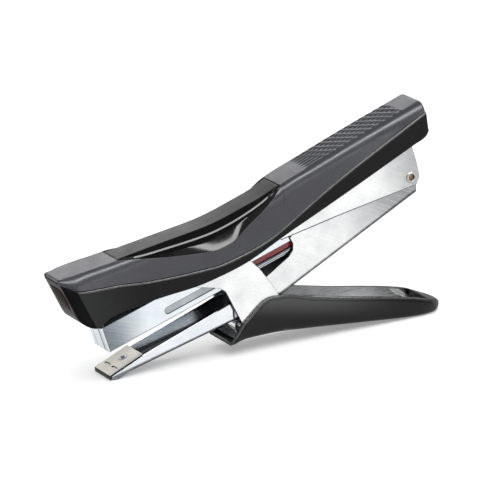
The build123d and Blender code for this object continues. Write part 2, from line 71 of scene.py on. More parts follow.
CASE_OUT, CASE_IN = 11.85, 10.5
HINGE = (153.2, 67.2)
MAG_TILT = math.radians(17.44)
MAG_OUT, MAG_BOTTOM, NOSE_FACE = 7.1, -5.3, -163.9
STRIP_FRONT, STRIP_REAR = -161.7, -109.0
CROWN_HALF, CROWN_TOP, WIRE = 6.35, 1.9, 0.5
ROD_V, SPRING_START, SPRING_LENGTH, FOLLOWER_TRAVEL = -3.4, -90.8, 78.6, 38.0
ANVIL_RISE = math.radians(23.06)
STRIP_AREA = 60 * MM * MM

# Stations of the cover: where it meets the casing, its crest, and its half-widths at both.
SEAM_X = [HEAD_FRONT, -20.9, -19.4, -17.5, -11.6, 0.0, 17.3, 27.5, 50.0, 64.2, 78.3, 88.5, 105.0, 120.7,
          143.0, COVER_REAR]
SEAM_Z = [48.7, 46.6, 46.05, 45.5, 45.0, 45.0, 43.9, 43.8, 44.6, 47.6, 52.6, 58.4, 68.6, 77.4, 88.9, 97.6]
CREST_Z = [50.55, 51.15, 51.4, 51.7, 52.7, 54.2, 57.0, 58.6, 62.2, 66.3, 71.0, 75.8, 82.0, 87.9, 95.9,
           102.0]
SEAM_HALF = [7.75, 10.2, 11.2] + [CASE_OUT] * 10 + [11.8, 11.6, 11.3]
CREST_HALF = [7.5, 8.5, 8.7, 8.8, 8.6, 8.3, 8.0, 8.0, 8.0, 8.1, 8.2, 8.3, 8.4, 8.4, 8.4, 8.3]
# Stations of the inlay: crest, bright edge, foot of its wall, and the rim of the pocket round it.
POCKET_FRONT, POCKET_REAR, INLAY_GAP, WALL_HALF = 4.0, 86.0, 0.25, 7.36
INLAY_X = [POCKET_FRONT, 12.0, 30.8, 49.3, 59.0, 67.0, 77.0, POCKET_REAR]
INLAY_CREST = [54.8, 56.1, 59.1, 62.1, 64.6, 67.2, 70.6, 74.6]
INLAY_EDGE = [54.6, 54.5, 56.0, 58.4, 60.9, 63.8, 68.4, 74.3]
INLAY_FOOT = [54.4, 53.4, 53.8, 55.6, 58.4, 62.0, 67.4, 74.2]
INLAY_RIM = [54.7, 54.3, 52.5, 51.6, 53.8, 59.6, 66.6, 74.4]


def pt(x, y, z):
    """Place in the frame, in metres, of a point measured in millimetres from the anvil's tip."""
    return Vector(((x + TIP_X) * MM, y * MM, z * MM))


def mag_pt(u, y, v):
    """Place of a point measured along, across and up the magazine from the hinge."""
    x = HINGE[0] + u * math.cos(MAG_TILT) - v * math.sin(MAG_TILT)
    z = HINGE[1] + u * math.sin(MAG_TILT) + v * math.cos(MAG_TILT)
    return pt(x, y, z)


def smooth_line(xs, ys):
    """Smooth function through the points that never swings past them."""
    count = len(xs)
    steps = [xs[i + 1] - xs[i] for i in range(count - 1)]
    slopes = [(ys[i + 1] - ys[i]) / steps[i] for i in range(count - 1)]
    tangents = [slopes[0]]
    for i in range(1, count - 1):
        before, after = slopes[i - 1], slopes[i]
        if before * after <= 0:
            tangents.append(0.0)
        else:
            near, far = 2 * steps[i] + steps[i - 1], steps[i] + 2 * steps[i - 1]
            tangents.append((near + far) / (near / before + far / after))
    tangents.append(slopes[-1])

    def value(x):
        i = min(max(bisect_right(xs, x) - 1, 0), count - 2)
        t = min(max((x - xs[i]) / steps[i], 0.0), 1.0)
        rest = 1 - t
        return (ys[i] * (1 + 2 * t) * rest * rest + tangents[i] * steps[i] * t * rest * rest
                + ys[i + 1] * (3 - 2 * t) * t * t - tangents[i + 1] * steps[i] * t * t * rest)

    return value


def spread(low, high, count):
    """Evenly spaced values, both ends included."""
    return [low + (high - low) * i / (count - 1) for i in range(count)]


def bezier(a, b, c, count):
    """Points along a quadratic curve from a to c that leaves towards b."""
    points = []
    for t in spread(0, 1, count):
        s = 1 - t
        points.append(tuple(s * s * p + 2 * s * t * q + t * t * r for p, q, r in zip(a, b, c)))
    return points


def mirrored(half):
    """Half section joined to its mirror image, with the middle point once."""
    return half + [(-y, z) for y, z in reversed(half[:-1])]


def angles(count):
    """Angles of evenly spaced points round a circle."""
    return [2 * math.pi * k / count for k in range(count)]


def rounded(corners, radius, steps=5):
    """Open side-view line with every inner corner rounded."""
    line = [corners[0]]
    for before, corner, after in zip(corners, corners[1:], corners[2:]):
        here = Vector(corner)
        back, ahead = Vector(before) - here, Vector(after) - here
        reach = min(radius, back.length * 0.45, ahead.length * 0.45)
        line += bezier(here + back.normalized() * reach, here, here + ahead.normalized() * reach, steps)
    return line + [corners[-1]]


# ======== meshes ========
def add_object(name, data):
    """New object in the scene."""
    made = bpy.data.objects.new(name, data)
    bpy.context.scene.collection.objects.link(made)
    return made


def as_piece(name, bm, body, material, sharp=32.0, replaces=(), others=()):
    """Turn a bmesh into a finished object that rides on a body.

    Others are further finishes, some of them painted shade or a painted highlight, each with the test for the
    faces that it covers."""
    bmesh.ops.recalc_face_normals(bm, faces=bm.faces)
    for face in bm.faces:
        face.material_index = 0
        for i, (_, test) in enumerate(others):
            if test(face):
                face.material_index = i + 1
    limit = math.radians(sharp)
    for edge in bm.edges:
        edge.smooth = len(edge.link_faces) == 2 and edge.calc_face_angle(0.0) < limit
    for face in bm.faces:
        face.smooth = True
    mesh = bpy.data.meshes.new(name)
    bm.to_mesh(mesh)
    bm.free()
    mesh.materials.append(material)
    for finish, _ in others:
        mesh.materials.append(finish)
    piece = add_object(name, mesh)
    even = piece.modifiers.new("even_normals", "WEIGHTED_NORMAL")
    even.keep_sharp = True
    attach(piece, body)
    if replaces:
        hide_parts(*replaces)
    return piece


def add_tube_grid(bm, rows, caps=True):
    """Closed body through rings of the same number of points."""
    rings = [[bm.verts.new(p) for p in row] for row in rows]
    around = len(rings[0])
    for first, second in zip(rings, rings[1:]):
        for i in range(around):
            j = (i + 1) % around
            bm.faces.new((first[i], first[j], second[j], second[i]))
    if caps:
        bm.faces.new(rings[0][::-1])
        bm.faces.new(rings[-1])


def add_sheet(bm, outer, inner):
    """Closed thick sheet between two grids of the same size."""
    tops = [[bm.verts.new(p) for p in row] for row in outer]
    lows = [[bm.verts.new(p) for p in row] for row in inner]
    rows, across = len(tops), len(tops[0])
    for i in range(rows - 1):
        for j in range(across - 1):
            bm.faces.new((tops[i][j], tops[i][j + 1], tops[i + 1][j + 1], tops[i + 1][j]))
            bm.faces.new((lows[i][j], lows[i + 1][j], lows[i + 1][j + 1], lows[i][j + 1]))
    for i in (0, rows - 1):
        for j in range(across - 1):
            bm.faces.new((tops[i][j], lows[i][j], lows[i][j + 1], tops[i][j + 1]))
    for j in (0, across - 1):
        for i in range(rows - 1):
            bm.faces.new((tops[i][j], tops[i + 1][j], lows[i + 1][j], lows[i][j]))


def prism(points, half):
    """Bmesh of a side-view outline carried across the thickness, -half to +half."""
    bm = bmesh.new()
    near = [bm.verts.new(pt(x, -half, z)) for x, z in points]
    far = [bm.verts.new(pt(x, half, z)) for x, z in points]
    bm.faces.new(near)
    bm.faces.new(far[::-1])
    for i in range(len(points)):
        j = (i + 1) % len(points)
        bm.faces.new((near[i], far[i], far[j], near[j]))
    bmesh.ops.recalc_face_normals(bm, faces=bm.faces)
    return bm


def round_edges(bm, width, segments, test=None, angle=30.0):
    """Round the sharp edges that pass the test, by real geometry."""
    limit = math.radians(angle)
    chosen = []
    for edge in bm.edges:
        if len(edge.link_faces) == 2 and edge.calc_face_angle(0.0) > limit:
            if test is None or test(edge):
                chosen.append(edge)
    bmesh.ops.bevel(bm, geom=chosen, offset=width * MM, offset_type="OFFSET", segments=segments,
                    profile=0.5, affect="EDGES", clamp_overlap=False)


def carve(bm, cutter):
    """Take one closed bmesh away from another."""
    objects = []
    for source in (bm, cutter):
        mesh = bpy.data.meshes.new("carving")
        source.to_mesh(mesh)
        source.free()
        objects.append(add_object("carving", mesh))
    body, tool = objects
    cut = body.modifiers.new("cut", "BOOLEAN")
    cut.operation = "DIFFERENCE"
    cut.solver = "EXACT"
    cut.object = tool
    graph = bpy.context.evaluated_depsgraph_get()
    result = bmesh.new()
    result.from_mesh(body.evaluated_get(graph).to_mesh())
    for piece in objects:
        mesh = piece.data
        bpy.data.objects.remove(piece)
        bpy.data.meshes.remove(mesh)
    return result


def from_node(node):
    """Bmesh of a CAD node with its flat faces whole again."""
    bm = bmesh.new()
    bm.from_mesh(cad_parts[node].data)
    bmesh.ops.remove_doubles(bm, verts=bm.verts, dist=1e-6)
    bmesh.ops.dissolve_limit(bm, angle_limit=math.radians(0.8), verts=bm.verts, edges=bm.edges)
    return bm


def is_cut_edge_or_bend(face):
    """Narrow face round the rim of a side plate: the dark cut edges, and the facets of rounded bends, which
    carry painted shade.
    """
    return abs(face.normal.y) < 0.992 and face.calc_area() < STRIP_AREA


def is_low_rim(edge):
    """Long lower edge of an upright plate's outer side."""
    if edge.calc_length() < 9 * MM or len(edge.link_faces) != 2:
        return False
    sides = [abs(face.normal.y) for face in edge.link_faces]
    lows = [face.normal.z for face in edge.link_faces]
    outward = max(face.normal.y * edge.verts[0].co.y for face in edge.link_faces) > 0
    return max(sides) > 0.98 and min(lows) < -0.5 and outward


def softened(node, name, body, material, width=0.14, test=None, wide=0.0, others=()):
    """Stand-in for a CAD node of pressed sheet: the same shape with its bends and edges rounded."""
    bm = from_node(node)
    bm.normal_update()
    if wide:
        round_edges(bm, wide, 4, test)
    round_edges(bm, width, 2)
    as_piece(name, bm, body, material, replaces=(node,), others=others)


# ======== materials ========
def new_material(name):
    """New material with its node tree and main shader."""
    material = bpy.data.materials.new(name)
    material.use_nodes = True
    shader = material.node_tree.nodes["Principled BSDF"]
    return material, material.node_tree, shader


def set_inputs(node, values):
    """Set some of a node's inputs by name."""
    for name, value in values.items():
        node.inputs[name].default_value = value
    return node


def grain(tree, scale, detail=3.0, stretch=(1.0, 1.0, 1.0), turn=0.0, rough=0.55):
    """Noise in the object's own measure, stretched along a direction of the side view."""
    place = tree.nodes.new("ShaderNodeTexCoord")
    mapping = set_inputs(tree.nodes.new("ShaderNodeMapping"), {"Rotation": (0.0, turn, 0.0)})
    scaled = set_inputs(tree.nodes.new("ShaderNodeMapping"), {"Scale": stretch})
    texture = tree.nodes.new("ShaderNodeTexNoise")
    set_inputs(texture, {"Scale": scale, "Detail": detail, "Roughness": rough})
    tree.links.new(place.outputs["Object"], mapping.inputs["Vector"])
    tree.links.new(mapping.outputs["Vector"], scaled.inputs["Vector"])
    tree.links.new(scaled.outputs["Vector"], texture.inputs["Vector"])
    return texture.outputs["Fac"]


def remap(tree, source, low, high, start=0.3, end=0.7):
    """Noise turned into a value between low and high."""
    ranged = tree.nodes.new("ShaderNodeMapRange")
    set_inputs(ranged, {"From Min": start, "From Max": end, "To Min": low, "To Max": high})
    tree.links.new(source, ranged.inputs["Value"])
    return ranged.outputs["Result"]


def blend_colours(tree, factor, first, second):
    """Mix of two colours, each a plain tuple or the output of another node."""
    mix = tree.nodes.new("ShaderNodeMix")
    mix.data_type = "RGBA"
    tree.links.new(factor, mix.inputs[0])
    for socket, colour in ((mix.inputs[6], first), (mix.inputs[7], second)):
        if isinstance(colour, tuple):
            socket.default_value = (*colour, 1.0)
        else:
            tree.links.new(colour, socket)
    return mix.outputs[2]


def along(tree, start, end):
    """Zero at one place of the object, one at another, even across the line between them."""
    place = tree.nodes.new("ShaderNodeTexCoord")
    shifted = tree.nodes.new("ShaderNodeVectorMath")
    shifted.operation = "SUBTRACT"
    shifted.inputs[1].default_value = start
    reach = tree.nodes.new("ShaderNodeVectorMath")
    reach.operation = "DOT_PRODUCT"
    reach.inputs[1].default_value = (end - start) / (end - start).length_squared
    tree.links.new(place.outputs["Object"], shifted.inputs[0])
    tree.links.new(shifted.outputs["Vector"], reach.inputs[0])
    ranged = tree.nodes.new("ShaderNodeMapRange")
    ranged.interpolation_type = "SMOOTHSTEP"
    tree.links.new(reach.outputs["Value"], ranged.inputs["Value"])
    return ranged.outputs["Result"]


def worn_edges(tree):
    """One on the convex edges, nothing elsewhere."""
    geometry = tree.nodes.new("ShaderNodeNewGeometry")
    return remap(tree, geometry.outputs["Pointiness"], 0.0, 1.0, 0.53, 0.62)


def relief(tree, shader, heights):
    """Bumps laid over each other: (height socket, strength, depth in millimetres)."""
    below = None
    for height, strength, depth in heights:
        bump = tree.nodes.new("ShaderNodeBump")
        set_inputs(bump, {"Strength": strength, "Distance": depth * MM})
        tree.links.new(height, bump.inputs["Height"])
        if below is not None:
            tree.links.new(below, bump.inputs["Normal"])
        below = bump.outputs["Normal"]
    tree.links.new(below, shader.inputs["Normal"])


def moulded(name, base, pale, roughness, texture_depth, edge_colour, specular=0.5, painted_tones=()):
    """Moulded plastic: fine spark-eroded texture, slow colour drift, edges rubbed paler.

    Each painted tone is painted light or shade: it changes the colour towards a place, as in metal()."""
    material, tree, shader = new_material(name)
    drift = grain(tree, 45.0, 4.0)
    fleck = grain(tree, 2600.0, 2.0)
    colour = blend_colours(tree, remap(tree, drift, 0.0, 1.0), base, pale)
    flecks = remap(tree, fleck, 0.0, 0.45, 0.56, 0.78)
    rubbed = remap(tree, worn_edges(tree), 0.0, 0.4, 0, 1)
    flecked = blend_colours(tree, flecks, colour, edge_colour)
    wear_and_painted_light = blend_colours(tree, rubbed, flecked, edge_colour)
    # Painted light and shade: each tone shifts the colour towards a place.
    for start, end, tone in painted_tones:
        wear_and_painted_light = blend_colours(tree, along(tree, start, end), wear_and_painted_light, tone)
    tree.links.new(wear_and_painted_light, shader.inputs["Base Color"])
    smear = grain(tree, 160.0, 5.0, (1.0, 1.0, 1.6))
    tree.links.new(remap(tree, smear, roughness - 0.05, roughness + 0.06), shader.inputs["Roughness"])
    relief(tree, shader, [(grain(tree, 1500.0, 3.0), 0.5, texture_depth),
                          (grain(tree, 90.0, 2.0), 0.25, 0.02)])
    shader.inputs["Specular IOR Level"].default_value = specular
    return material


def metal(name, base, shade, roughness, turn, depth, spots=0.0, spot_colour=(0.3, 0.3, 0.3), painted_tones=(),
          streak=(1.0, 30.0, 30.0)):
    """Bare or plated metal: drawn or brushed streaks along one direction, stains and small scratches.

    Each painted tone is painted shade that darkens the metal towards a place: (where it starts, where it is
    full, colour)."""
    material, tree, shader = new_material(name)
    shader.inputs["Metallic"].default_value = 1.0
    lines = grain(tree, 40.0, 6.0, streak, turn, 0.7)
    stain = grain(tree, 70.0, 5.0)
    colour = blend_colours(tree, remap(tree, stain, 0.0, 1.0, 0.35, 0.7), base, shade)
    lined = blend_colours(tree, remap(tree, lines, 0.0, 0.5, 0.3, 0.75), colour, shade)
    if spots:
        pits = remap(tree, grain(tree, 900.0, 4.0), 0.0, spots, 0.56, 0.72)
        lined = blend_colours(tree, pits, lined, spot_colour)
    # Painted shade: each tone darkens the metal towards a place, broken up by the streaks.
    for start, end, tone in painted_tones:
        painted_shade_mask = tree.nodes.new("ShaderNodeMath")
        painted_shade_mask.operation = "MULTIPLY"
        tree.links.new(along(tree, start, end), painted_shade_mask.inputs[0])
        tree.links.new(remap(tree, lines, 0.72, 1.0, 0.3, 0.7), painted_shade_mask.inputs[1])
        lined = blend_colours(tree, painted_shade_mask.outputs["Value"], lined, tone)
    tree.links.new(lined, shader.inputs["Base Color"])
    rough = remap(tree, lines, roughness - 0.05, roughness + 0.1, 0.25, 0.75)
    tree.links.new(rough, shader.inputs["Roughness"])
    relief(tree, shader, [(lines, 0.5, depth), (grain(tree, 500.0, 4.0), 0.3, depth * 0.6)])
    return material


ALONG_ARM = math.radians(-14.3)
ALONG_PLATE = math.radians(-26.0)
EVEN = (1.0, 1.0, 1.0)
ALONG_MAGAZINE = -MAG_TILT
COVER_GREY = moulded("cover_grey", (0.022, 0.0225, 0.0275), (0.029, 0.0295, 0.036), 0.34, 0.01,
                     (0.1, 0.1, 0.115), 0.42)
# Painted light: the tone makes the casing paler towards the head's front.
CASING_BLACK = moulded("casing_black", (0.003, 0.003, 0.0033), (0.0045, 0.0045, 0.0048), 0.3, 0.006,
                       (0.02, 0.02, 0.02), 0.12,
                       ((pt(18, 0, 40), pt(-20, 0, 36), (0.02, 0.0205, 0.021)),))
# Painted sheen: the first tone makes the shell paler just under its top edge, the second takes it back to
# near black towards the rear.
SHELL_BLACK = moulded("shell_black", (0.0045, 0.0048, 0.0045), (0.0065, 0.0068, 0.0065), 0.36, 0.01,
                      (0.03, 0.03, 0.03), 0.16,
                      ((pt(98.0, 0, 9.5), pt(100, 0, 20.2), (0.06, 0.062, 0.06)),
                       (pt(100, 0, 10), pt(150, 0, 10), (0.006, 0.006, 0.006))))
INLAY_BLACK = moulded("inlay_black", (0.003, 0.003, 0.0028), (0.0045, 0.0045, 0.0042), 0.15, 0.001,
                      (0.015, 0.015, 0.015), 0.28)
INLAY_TOP = moulded("inlay_top", (0.005, 0.0052, 0.0048), (0.0075, 0.0078, 0.0072), 0.2, 0.001,
                    (0.015, 0.015, 0.015), 0.07)
INSERT_BROWN = moulded("insert_brown", (0.012, 0.006, 0.005), (0.02, 0.01, 0.008), 0.22, 0.002,
                       (0.04, 0.03, 0.03), 0.003)
DEEP_BLACK = moulded("deep_black", (0.0028, 0.0028, 0.0028), (0.004, 0.004, 0.004), 0.3, 0.001,
                     (0.01, 0.01, 0.01), 0.03)
# Partly real gloss, partly painted highlight: the lips get a paler colour and a stronger gloss than their
# part.
LIP_GLOSS_AND_HIGHLIGHT = moulded("lip_gloss_painted_highlight", (0.02, 0.02, 0.022), (0.028, 0.028, 0.03), 0.28, 0.002,
                    (0.04, 0.04, 0.04), 0.6)
CHROME = metal("chrome", (0.72, 0.74, 0.76), (0.56, 0.59, 0.62), 0.1, ALONG_ARM, 0.002)
# Painted shade: the tone darkens the lower band of the arm's side, along its lower bend.
ARM_CHROME = metal("arm_chrome", (0.72, 0.74, 0.76), (0.56, 0.59, 0.62), 0.1, ALONG_ARM,
                   0.002, painted_tones=((pt(39.53, 0, 12.05), pt(39.68, 0, 11.45), (0.1, 0.105, 0.11)),))
# Painted shade: the tone darkens the magazine's sides towards its front.
MAGAZINE_CHROME = metal("magazine_chrome", (0.7, 0.73, 0.75), (0.56, 0.6, 0.63), 0.17, ALONG_MAGAZINE,
                        0.003, painted_tones=((mag_pt(-138, 0, 0), mag_pt(-163, 0, 0), (0.1, 0.125, 0.14)),))
# Painted shade: dark chrome laid on creases, grooves, rims and bends.
PAINTED_SHADE_CHROME = metal("painted_shade_chrome", (0.17, 0.18, 0.19), (0.06, 0.065, 0.07), 0.16, ALONG_MAGAZINE, 0.004)
# Painted shade: the tones darken the plate towards its lower rear, towards the bottom of its front wedge, and
# along its lower bend.
BRUSHED = metal("brushed_steel", (0.74, 0.74, 0.74), (0.54, 0.545, 0.55), 0.3, ALONG_PLATE, 0.008, 0.25,
                (0.34, 0.34, 0.34),
                ((pt(118, 0, 40), pt(150, 0, 62), (0.2, 0.205, 0.21)),
                 (pt(70, 0, 27), pt(66, 0, 15), (0.36, 0.36, 0.37)),
                 (pt(119.1, 0, 43.1), pt(119.6, 0, 42.1), (0.04, 0.042, 0.045))))
# Painted shade: the tone darkens the cheeks towards the rear.
CHEEK_STEEL = metal("cheek_steel", (0.76, 0.76, 0.76), (0.58, 0.585, 0.59), 0.28, ALONG_PLATE, 0.007,
                    0.25, (0.38, 0.38, 0.38),
                    ((pt(128, 0, 70), pt(163, 0, 74), (0.26, 0.265, 0.27)),))
LINER_STEEL = metal("liner_steel", (0.78, 0.78, 0.78), (0.58, 0.585, 0.59), 0.26, 0.0, 0.008)
# Painted shade: darker chrome on the floor of the magazine's pressed groove.
GROOVE_SHADE_CHROME = metal("groove_shade_chrome", (0.5, 0.52, 0.54), (0.22, 0.24, 0.26), 0.2, ALONG_MAGAZINE, 0.006)
# Dark cut edges of the sheet, and painted shade on the facets of rounded bends; it also covers the anvil
# plate's front lip.
CUT_EDGE_AND_BEND_SHADE = metal("cut_edges_and_bend_shade", (0.045, 0.047, 0.05), (0.022, 0.024, 0.026), 0.42, ALONG_PLATE, 0.012)
NICKEL = metal("matt_nickel", (0.49, 0.475, 0.44), (0.36, 0.345, 0.32), 0.4, 0.0, 0.01,
               0.5, (0.16, 0.145, 0.13), streak=EVEN)
SPRING = metal("spring_steel", (0.36, 0.37, 0.39), (0.22, 0.23, 0.25), 0.3, ALONG_ARM, 0.004)
WIRE_STEEL = metal("staple_wire", (0.56, 0.56, 0.58), (0.4, 0.4, 0.42), 0.27, 0.0, 0.004, streak=EVEN)
COPPERY = metal("rivet_core", (0.36, 0.26, 0.17), (0.17, 0.12, 0.08), 0.34, 0.0, 0.01, streak=EVEN)


def red_plastic():
    """Deep red, slightly clear plastic with flow marks and fine scratches."""
    material, tree, shader = new_material("grip_red")
    flow = grain(tree, 60.0, 4.0, (1.0, 3.0, 3.0), ALONG_MAGAZINE)
    colour = blend_colours(tree, remap(tree, flow, 0.0, 1.0), (0.15, 0.004, 0.009), (0.22, 0.010, 0.017))
    tree.links.new(colour, shader.inputs["Base Color"])
    scratch = grain(tree, 300.0, 5.0, (1.0, 8.0, 8.0), ALONG_MAGAZINE)
    tree.links.new(remap(tree, scratch, 0.16, 0.32), shader.inputs["Roughness"])
    relief(tree, shader, [(scratch, 0.3, 0.006)])
    shader.inputs["Coat Weight"].default_value = 0.15
    return material


RED = red_plastic()


# ======== upper lever: cover and inlay ========
seam_at = smooth_line(SEAM_X, SEAM_Z)
crest_at = smooth_line(SEAM_X, CREST_Z)
wide_at = smooth_line(SEAM_X, SEAM_HALF)
top_at = smooth_line(SEAM_X, CREST_HALF)
inlay_crest_at = smooth_line(INLAY_X, INLAY_CREST)
inlay_edge_at = smooth_line(INLAY_X, INLAY_EDGE)
inlay_foot_at = smooth_line(INLAY_X, INLAY_FOOT)
inlay_rim_at = smooth_line(INLAY_X, INLAY_RIM)

SIDE_STEPS, SHOULDER_STEPS, TOP_STEPS = 7, 16, 34
GRIP_START, GRIP_END, GRIP_HALF = 99.0, 151.0, 7.4
RIB_GAP, WAVE = 2.15, 3.7


def cover_profile(x):
    """Half section of the cover: from the seam up the side, round the shoulder, to the middle."""
    seam, crest, wide, top = seam_at(x), crest_at(x), wide_at(x), top_at(x)
    rise = crest - seam
    size = min(5.2, 0.78 * rise)
    corner = (top + 0.5 * min(1.0, rise / 8.0) * (wide - top) + 0.15, crest - 0.12)
    fall = Vector((wide, seam)) - Vector(corner)
    start = Vector(corner) + fall.normalized() * min(size, fall.length * 0.8)
    end = (corner[0] - min(size, 3.4), crest - 0.02)
    lip = min(0.3, rise * 0.15)
    side = [(wide - lip, seam)] + [(wide + (start.x - wide) * t, seam + lip + (start.y - seam - lip) * t)
                                   for t in spread(0, 1, SIDE_STEPS)]
    shoulder = bezier(start, corner, end, SHOULDER_STEPS)
    top_line = [(end[0] * (1 - t), end[1] + 0.02 * t) for t in spread(0, 1, TOP_STEPS)]
    return side + shoulder[1:] + top_line[1:]


def profile_reach(profile, height):
    """Half-width of the profile where it first reaches a height."""
    for (y0, z0), (y1, z1) in zip(profile, profile[1:]):
        if z0 <= height <= z1 and z1 > z0:
            return y0 + (y1 - y0) * (height - z0) / (z1 - z0)
    return profile[-1][0]


def resampled(points, count):
    """The same line with evenly spaced points."""
    lengths = [0.0]
    for (y0, z0), (y1, z1) in zip(points, points[1:]):
        lengths.append(lengths[-1] + math.hypot(y1 - y0, z1 - z0))
    line = []
    for target in spread(0, lengths[-1], count):
        i = min(bisect_right(lengths, target) - 1, len(points) - 2)
        t = (target - lengths[i]) / max(lengths[i + 1] - lengths[i], 1e-9)
        line.append((points[i][0] + (points[i + 1][0] - points[i][0]) * t,
                     points[i][1] + (points[i + 1][1] - points[i][1]) * t))
    return line


def pocket_profile(x):
    """Cover's half section beside the inlay: side up to the rim, a small lip, the floor under the inlay."""
    profile = cover_profile(x)
    rim = inlay_rim_at(x)
    reach = profile_reach(profile, rim)
    side = [p for p in profile if p[1] < rim - 0.02 and p[0] > reach - 0.4] + [(reach, rim)]
    side_count = SIDE_STEPS + SHOULDER_STEPS - 2
    side = [side[0]] + resampled(side[1:] if len(side) > 2 else side, side_count)
    lip = [(reach - 0.16, rim + 0.1), (reach - 0.3, rim - 0.1), (reach - 0.36, rim - 1.3)]
    floor = []
    for t in spread(0, 1, TOP_STEPS - 2)[1:]:
        y = (reach - 0.36) * (1 - t)
        under_scoop = min(1.0, (reach - y) / (reach - WALL_HALF)) * (inlay_foot_at(x) - rim)
        floor.append((y, rim - 1.45 + under_scoop))
    return side + lip + floor


def grip_height(x, y):
    """Raised grip on the rear of the cover's top: ribs that break up into waves towards the rear."""
    if not GRIP_START < x < GRIP_END or abs(y) > GRIP_HALF:
        return 0.0
    ends = min(1.0, (x - GRIP_START) / 3.0, (GRIP_END - x) / 3.0)
    border = min(1.0, (GRIP_HALF - abs(y)) / 0.7)
    row = 0.9 * y
    swell = 0.5 + 0.5 * math.cos(2 * math.pi * (x - GRIP_START) / WAVE + row)
    snake = 0.42 * math.sin(2 * math.pi * (x - GRIP_START) / WAVE + row)
    waves = min(1.0, max(0.0, (x - GRIP_START - 2.0) / 16.0))
    rib = 0.5 + 0.5 * math.cos(2 * math.pi * (y + waves * snake) / RIB_GAP)
    height = (1 - waves) * 0.42 * rib + waves * (0.08 + 0.56 * swell) * (0.25 + 0.75 * rib)
    return height * max(0.0, min(ends, border))


def cover_rows():
    """Outer skin of the cover, station by station."""
    head = [HEAD_FRONT + t for t in (0.0, 0.15, 0.45, 0.9, 1.4)] + spread(-22.8, 3.8, 28)
    pocket = [POCKET_FRONT, 4.2] + spread(5.4, 84.6, 72) + [85.8, POCKET_REAR]
    tail = [86.2, 86.6] + spread(88.0, GRIP_START, 10) + spread(GRIP_START + 0.3, GRIP_END, 130)
    tail += spread(GRIP_END + 0.9, 157.6, 8) + [158.6, 159.3, 159.75, COVER_REAR]
    rows = []
    for x in head + pocket + tail:
        in_pocket = POCKET_FRONT <= x <= POCKET_REAR
        half = pocket_profile(x) if in_pocket else cover_profile(x)
        drop = end_drop(x)
        line = []
        for y, z in half:
            z += grip_height(x, y)
            share = (z - half[0][1]) / max(half[-1][1] - half[0][1], 1e-6)
            line.append((y - drop * 0.8 * min(1, y / 9), z - drop * share))
        far = [(-y, z - grip_height(x, y) + grip_height(x, -y)) for y, z in reversed(line[:-1])]
        rows.append([pt(x, y, z) for y, z in line + far])
    return rows


def end_drop(x):
    """How far the cover's skin rounds down at its very ends."""
    front, rear = x - HEAD_FRONT, COVER_REAR - x
    if front < 0.9:
        return 0.35 * (1 - math.sqrt(1 - (1 - front / 0.9) ** 2))
    if rear < 1.5:
        return 1.3 * (1 - math.sqrt(max(0.0, 1 - (1 - rear / 1.5) ** 2)))
    return 0.0


def cover_inside(row):
    """Inner skin under one station of the outer one: a thin floor under the inlay, thicker elsewhere."""
    x, low = row[0].x / MM - TIP_X, row[0].z
    in_pocket = POCKET_FRONT <= x <= POCKET_REAR
    if in_pocket:
        reach = profile_reach(cover_profile(x), inlay_rim_at(x))
        upright, roof = (reach - 0.35) * MM, inlay_rim_at(x) - 1.95
    else:
        upright, roof = min(9.5 * MM, abs(row[0].y) - 1.3 * MM), crest_at(x) - 0.9
    roof = max(pt(x, 0, roof).z, low)
    line = []
    for p in row:
        if abs(p.y) >= upright:
            inner = p - Vector((0, math.copysign(1.1 * MM, p.y), 0.0))
            inner.z = min(inner.z, roof)
        elif in_pocket:
            inner = Vector((p.x, math.copysign(min(abs(p.y), (reach - 1.45) * MM), p.y), p.z - 0.6 * MM))
        else:
            inner = p - Vector((0, 0, 1.1 * MM))
            inner.z = min(inner.z, roof)
        inner.z = max(inner.z, low)
        line.append(inner)
    return line


def make_cover():
    """Grey cover with its pocket for the inlay and its raised grip."""
    rows = cover_rows()
    bm = bmesh.new()
    add_sheet(bm, rows, [cover_inside(row) for row in rows])

    def is_seam_edge(face):
        centre = face.calc_center_median()
        return centre.z / MM - seam_at(centre.x / MM - TIP_X) < 0.28 and abs(centre.y) > 9 * MM

    as_piece("cover", bm, "upper_lever", COVER_GREY, replaces=("top_cover",),
             others=((DEEP_BLACK, is_seam_edge),))


def inlay_profile(x):
    """Half section of the inlay: scoop, wall, bright edge, upper wall, crowned top."""
    crest, edge, foot, rim = inlay_crest_at(x), inlay_edge_at(x), inlay_foot_at(x), inlay_rim_at(x)
    reach = profile_reach(cover_profile(x), rim) - 0.42
    lift = min(1.0, max(crest - edge, 0.0) / 2.0)
    outer = [(reach, rim - 0.3), (reach - 0.04, rim - 0.08), (reach - 0.14, rim)]
    bend = (WALL_HALF + 0.44 * (reach - WALL_HALF), rim + 0.44 * (foot - rim))
    scoop = bezier(outer[-1], bend, (WALL_HALF, foot), 9)
    wall = [(7.30, foot + 0.15 * (edge - foot)), (7.2, edge - 0.5 * lift), (7.15, edge - 0.4 * lift)]
    bright = [(6.62, edge + 0.24 * lift), (6.56, edge + 0.34 * lift)]
    brow = bezier((6.18, crest - 0.4 * lift), (6.1, crest - 0.06), (5.75, crest - 0.05), 5)
    top_line = [(5.75 * (1 - t), crest - 0.05 + 0.05 * t) for t in spread(0, 1, 6)]
    return outer + scoop[1:] + wall + bright + brow + top_line[1:]


